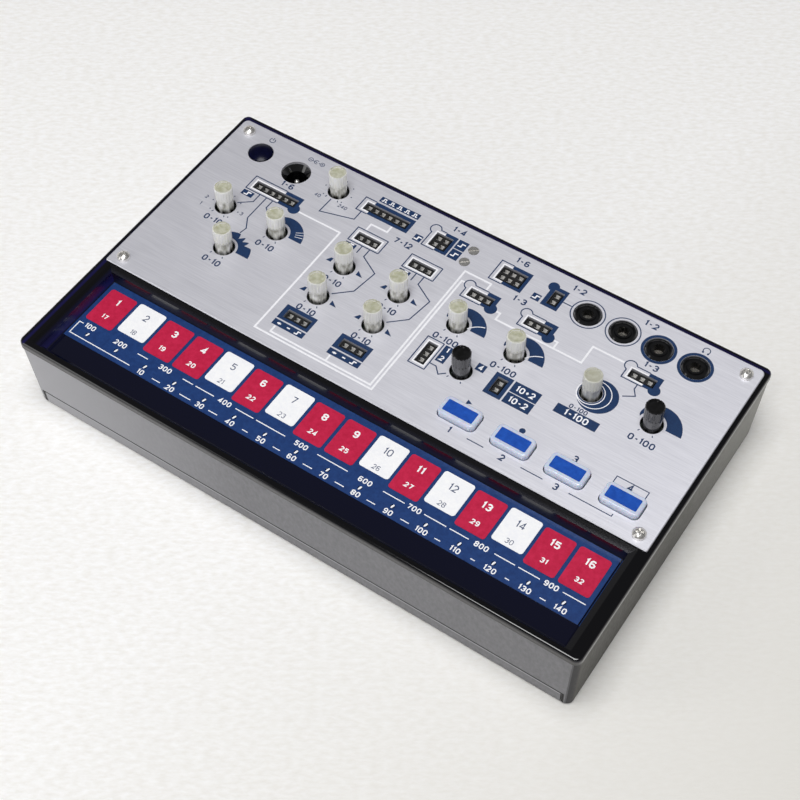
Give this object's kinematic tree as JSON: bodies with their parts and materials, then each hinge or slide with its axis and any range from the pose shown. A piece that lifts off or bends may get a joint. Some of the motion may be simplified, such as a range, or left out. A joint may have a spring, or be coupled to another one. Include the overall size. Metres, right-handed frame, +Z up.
{
  "type": "modular synthesizer",
  "caption": "Compact desktop modular synthesizer: brushed metal panel with clear knobs, patch sockets and cable jacks over a smoke-blue cover with a recessed touch keyboard.",
  "frame": {"origin": "on the table, under the centre of the plan", "axes": "+X to the player's right, +Y to the back edge with the jacks, +Z up"},
  "size_m": [0.193, 0.1142, 0.039],
  "materials": {
    "smoke_blue_plastic": "glossy smoke-blue see-through moulding, near black where the dark tray lies behind it",
    "grey_case_plastic": "satin dark grey moulded plastic",
    "brushed_panel": "fine brushed aluminium, grain left to right",
    "bright_screw": "bright nickel plating",
    "printed_strip": "satin navy printed film",
    "red_key": "crimson print with a soft sheen",
    "white_key": "white print with a soft sheen",
    "lamp": "clear light window",
    "dark_blue_button": "glossy midnight blue",
    "black_plastic": "glossy black moulding",
    "plated_contact": "nickel plated spring metal",
    "clear_knob": "milky clear moulded plastic",
    "smoky_knob": "smoky black clear plastic",
    "pot_body": "dark green moulded body",
    "white_button": "cool white glossy plastic",
    "blue_inlay": "saturated blue glossy inset",
    "socket_black": "matt black socket housing",
    "circuit_board": "green solder mask",
    "ribbon": "cream ribbon cable",
    "cell_wrap": "bronze coloured cell wrap",
    "foot_rubber": "black rubber",
    "dark_screw": "blackened steel"
  },
  "bodies": {
    "case": {"top_cover": "smoke_blue_plastic", "lower_case": "grey_case_plastic", "front_panel": "brushed_panel", "panel_screws": "bright_screw", "ground_screws": "bright_screw", "touch_strip": "printed_strip", "red_keys": "red_key", "white_keys": "white_key", "key_lights": "lamp", "power_socket": "black_plastic", "power_pin": "plated_contact", "cable_jacks": "black_plastic", "jack_sleeves": "plated_contact", "pot_bodies": "pot_body", "tact_switches": "black_plastic", "source_sockets": "socket_black", "sequencer_sockets": "socket_black", "function_sockets": "socket_black", "top_row_sockets": "socket_black", "gate_sockets": "socket_black", "utility_sockets": "socket_black", "space_sockets": "socket_black", "socket_contacts": "plated_contact", "main_board": "circuit_board", "panel_board": "circuit_board", "key_board": "circuit_board", "board_link": "black_plastic", "key_cable": "ribbon", "speaker": "black_plastic", "battery_cells": "cell_wrap", "battery_contacts": "plated_contact", "rear_feet": "foot_rubber", "case_screws": "dark_screw", "board_screws": "dark_screw"},
    "tempo_knob_turning": {"tempo_knob": "clear_knob"},
    "ratio_knob_turning": {"ratio_knob": "clear_knob"},
    "mod_knob_turning": {"mod_knob": "clear_knob"},
    "fold_knob_turning": {"fold_knob": "clear_knob"},
    "attack_knob_turning": {"attack_knob": "clear_knob"},
    "shape_knob_turning": {"shape_knob": "clear_knob"},
    "release_knob_turning": {"release_knob": "clear_knob"},
    "time_knob_turning": {"time_knob": "clear_knob"},
    "cutoff_a_knob_turning": {"cutoff_a_knob": "clear_knob"},
    "cutoff_b_knob_turning": {"cutoff_b_knob": "clear_knob"},
    "utility_knob_turning": {"utility_knob": "smoky_knob"},
    "amount_knob_turning": {"amount_knob": "clear_knob"},
    "volume_knob_turning": {"volume_knob": "smoky_knob"},
    "play_key": {"play_button": "white_button", "play_inlay": "blue_inlay"},
    "record_key": {"record_button": "white_button", "record_inlay": "blue_inlay"},
    "memory_key": {"memory_button": "white_button", "memory_inlay": "blue_inlay"},
    "function_key": {"function_button": "white_button", "function_inlay": "blue_inlay"},
    "power_key": {"power_button": "dark_blue_button"},
    "door": {"battery_door": "grey_case_plastic", "front_feet": "foot_rubber"}
  },
  "joints": [
    {"name": "tempo_turn", "type": "hinge", "parent": "case", "child": "tempo_knob_turning", "pos_m": [-0.0509, 0.0451, 0.0302], "axis": [0, 0, 1], "range_deg": [-150, 150]},
    {"name": "ratio_turn", "type": "hinge", "parent": "case", "child": "ratio_knob_turning", "pos_m": [-0.07725, 0.0202, 0.0302], "axis": [0, 0, 1], "range_deg": [-150, 150]},
    {"name": "mod_turn", "type": "hinge", "parent": "case", "child": "mod_knob_turning", "pos_m": [-0.05715, 0.0202, 0.0302], "axis": [0, 0, 1], "range_deg": [-150, 150]},
    {"name": "fold_turn", "type": "hinge", "parent": "case", "child": "fold_knob_turning", "pos_m": [-0.0672, 0.0062, 0.0302], "axis": [0, 0, 1], "range_deg": [-150, 150]},
    {"name": "attack_turn", "type": "hinge", "parent": "case", "child": "attack_knob_turning", "pos_m": [-0.0314, 0.0202, 0.0302], "axis": [0, 0, 1], "range_deg": [-150, 150]},
    {"name": "shape_turn", "type": "hinge", "parent": "case", "child": "shape_knob_turning", "pos_m": [-0.0113, 0.0202, 0.0302], "axis": [0, 0, 1], "range_deg": [-150, 150]},
    {"name": "release_turn", "type": "hinge", "parent": "case", "child": "release_knob_turning", "pos_m": [-0.0314, 0.0062, 0.0302], "axis": [0, 0, 1], "range_deg": [-150, 150]},
    {"name": "time_turn", "type": "hinge", "parent": "case", "child": "time_knob_turning", "pos_m": [-0.0113, 0.0062, 0.0302], "axis": [0, 0, 1], "range_deg": [-150, 150]},
    {"name": "cutoff_a_turn", "type": "hinge", "parent": "case", "child": "cutoff_a_knob_turning", "pos_m": [0.0099, 0.0202, 0.0302], "axis": [0, 0, 1], "range_deg": [-150, 150]},
    {"name": "cutoff_b_turn", "type": "hinge", "parent": "case", "child": "cutoff_b_knob_turning", "pos_m": [0.03, 0.0202, 0.0302], "axis": [0, 0, 1], "range_deg": [-150, 150]},
    {"name": "utility_turn", "type": "hinge", "parent": "case", "child": "utility_knob_turning", "pos_m": [0.01995, 0.0062, 0.0302], "axis": [0, 0, 1], "range_deg": [-150, 150]},
    {"name": "amount_turn", "type": "hinge", "parent": "case", "child": "amount_knob_turning", "pos_m": [0.0557, 0.0202, 0.0302], "axis": [0, 0, 1], "range_deg": [-150, 150]},
    {"name": "volume_turn", "type": "hinge", "parent": "case", "child": "volume_knob_turning", "pos_m": [0.0758, 0.0202, 0.0302], "axis": [0, 0, 1], "range_deg": [-150, 150]},
    {"name": "play_press", "type": "slide", "parent": "case", "child": "play_key", "axis": [0, 0, -1], "range_m": [0, 0.0005], "stiffness_N_per_m": 800, "springref_m": -0.0008},
    {"name": "record_press", "type": "slide", "parent": "case", "child": "record_key", "axis": [0, 0, -1], "range_m": [0, 0.0005], "stiffness_N_per_m": 800, "springref_m": -0.0008},
    {"name": "memory_press", "type": "slide", "parent": "case", "child": "memory_key", "axis": [0, 0, -1], "range_m": [0, 0.0005], "stiffness_N_per_m": 800, "springref_m": -0.0008},
    {"name": "function_press", "type": "slide", "parent": "case", "child": "function_key", "axis": [0, 0, -1], "range_m": [0, 0.0005], "stiffness_N_per_m": 800, "springref_m": -0.0008},
    {"name": "power_press", "type": "slide", "parent": "case", "child": "power_key", "axis": [0, 0, -1], "range_m": [0, 0.0005], "stiffness_N_per_m": 800, "springref_m": -0.0008},
    {"name": "door_slide", "type": "slide", "parent": "case", "child": "door", "axis": [0, -1, 0], "range_m": [0, 0.006]}
  ]
}
